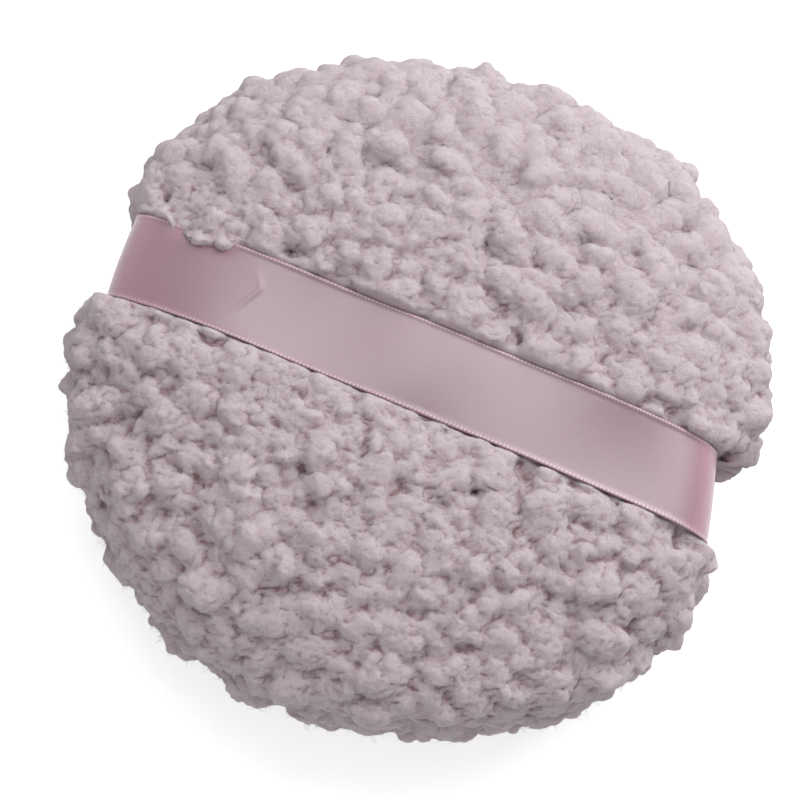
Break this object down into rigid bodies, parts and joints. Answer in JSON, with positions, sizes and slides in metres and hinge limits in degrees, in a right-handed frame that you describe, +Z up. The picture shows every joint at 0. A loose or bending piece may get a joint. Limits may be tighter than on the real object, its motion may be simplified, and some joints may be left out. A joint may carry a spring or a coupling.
{
  "type": "powder puff",
  "caption": "Round plush powder puff of curly pile fabric over a foam disc, with a satin ribbon finger strap that lifts off the upper face.",
  "frame": {"origin": "middle of the flat rest area under the powder face, at the bottom centre of the puff's box", "axes": "+Z up out of the ribbon face, +X along the ribbon, +Y across it towards the hand-closed turning gap"},
  "size_m": [0.096, 0.0994, 0.0351],
  "materials": {
    "pile": "curly sherpa pile, pale greyish pink, matt and fuzzy",
    "ground_knit": "fine knitted backing of the pile, matt",
    "foam": "open-cell foam, off-white and matt",
    "satin": "pink polyester satin ribbon with woven edges, soft sheen",
    "thread": "spun polyester sewing thread"
  },
  "bodies": {
    "puff": {"top_pile": "pile", "bottom_pile": "pile", "top_cloth": "ground_knit", "bottom_cloth": "ground_knit", "foam_core": "foam", "left_ribbon_tack": "thread", "right_ribbon_tack": "thread", "overlock_stitches": "thread", "closing_stitches": "thread"},
    "strap": {"ribbon_strap": "satin"}
  },
  "joints": [
    {"name": "strap_lift", "type": "slide", "parent": "puff", "child": "strap", "axis": [0, 0, 1], "range_m": [0, 0.01], "stiffness_N_per_m": 15, "deforming": ["ribbon_strap"]}
  ]
}
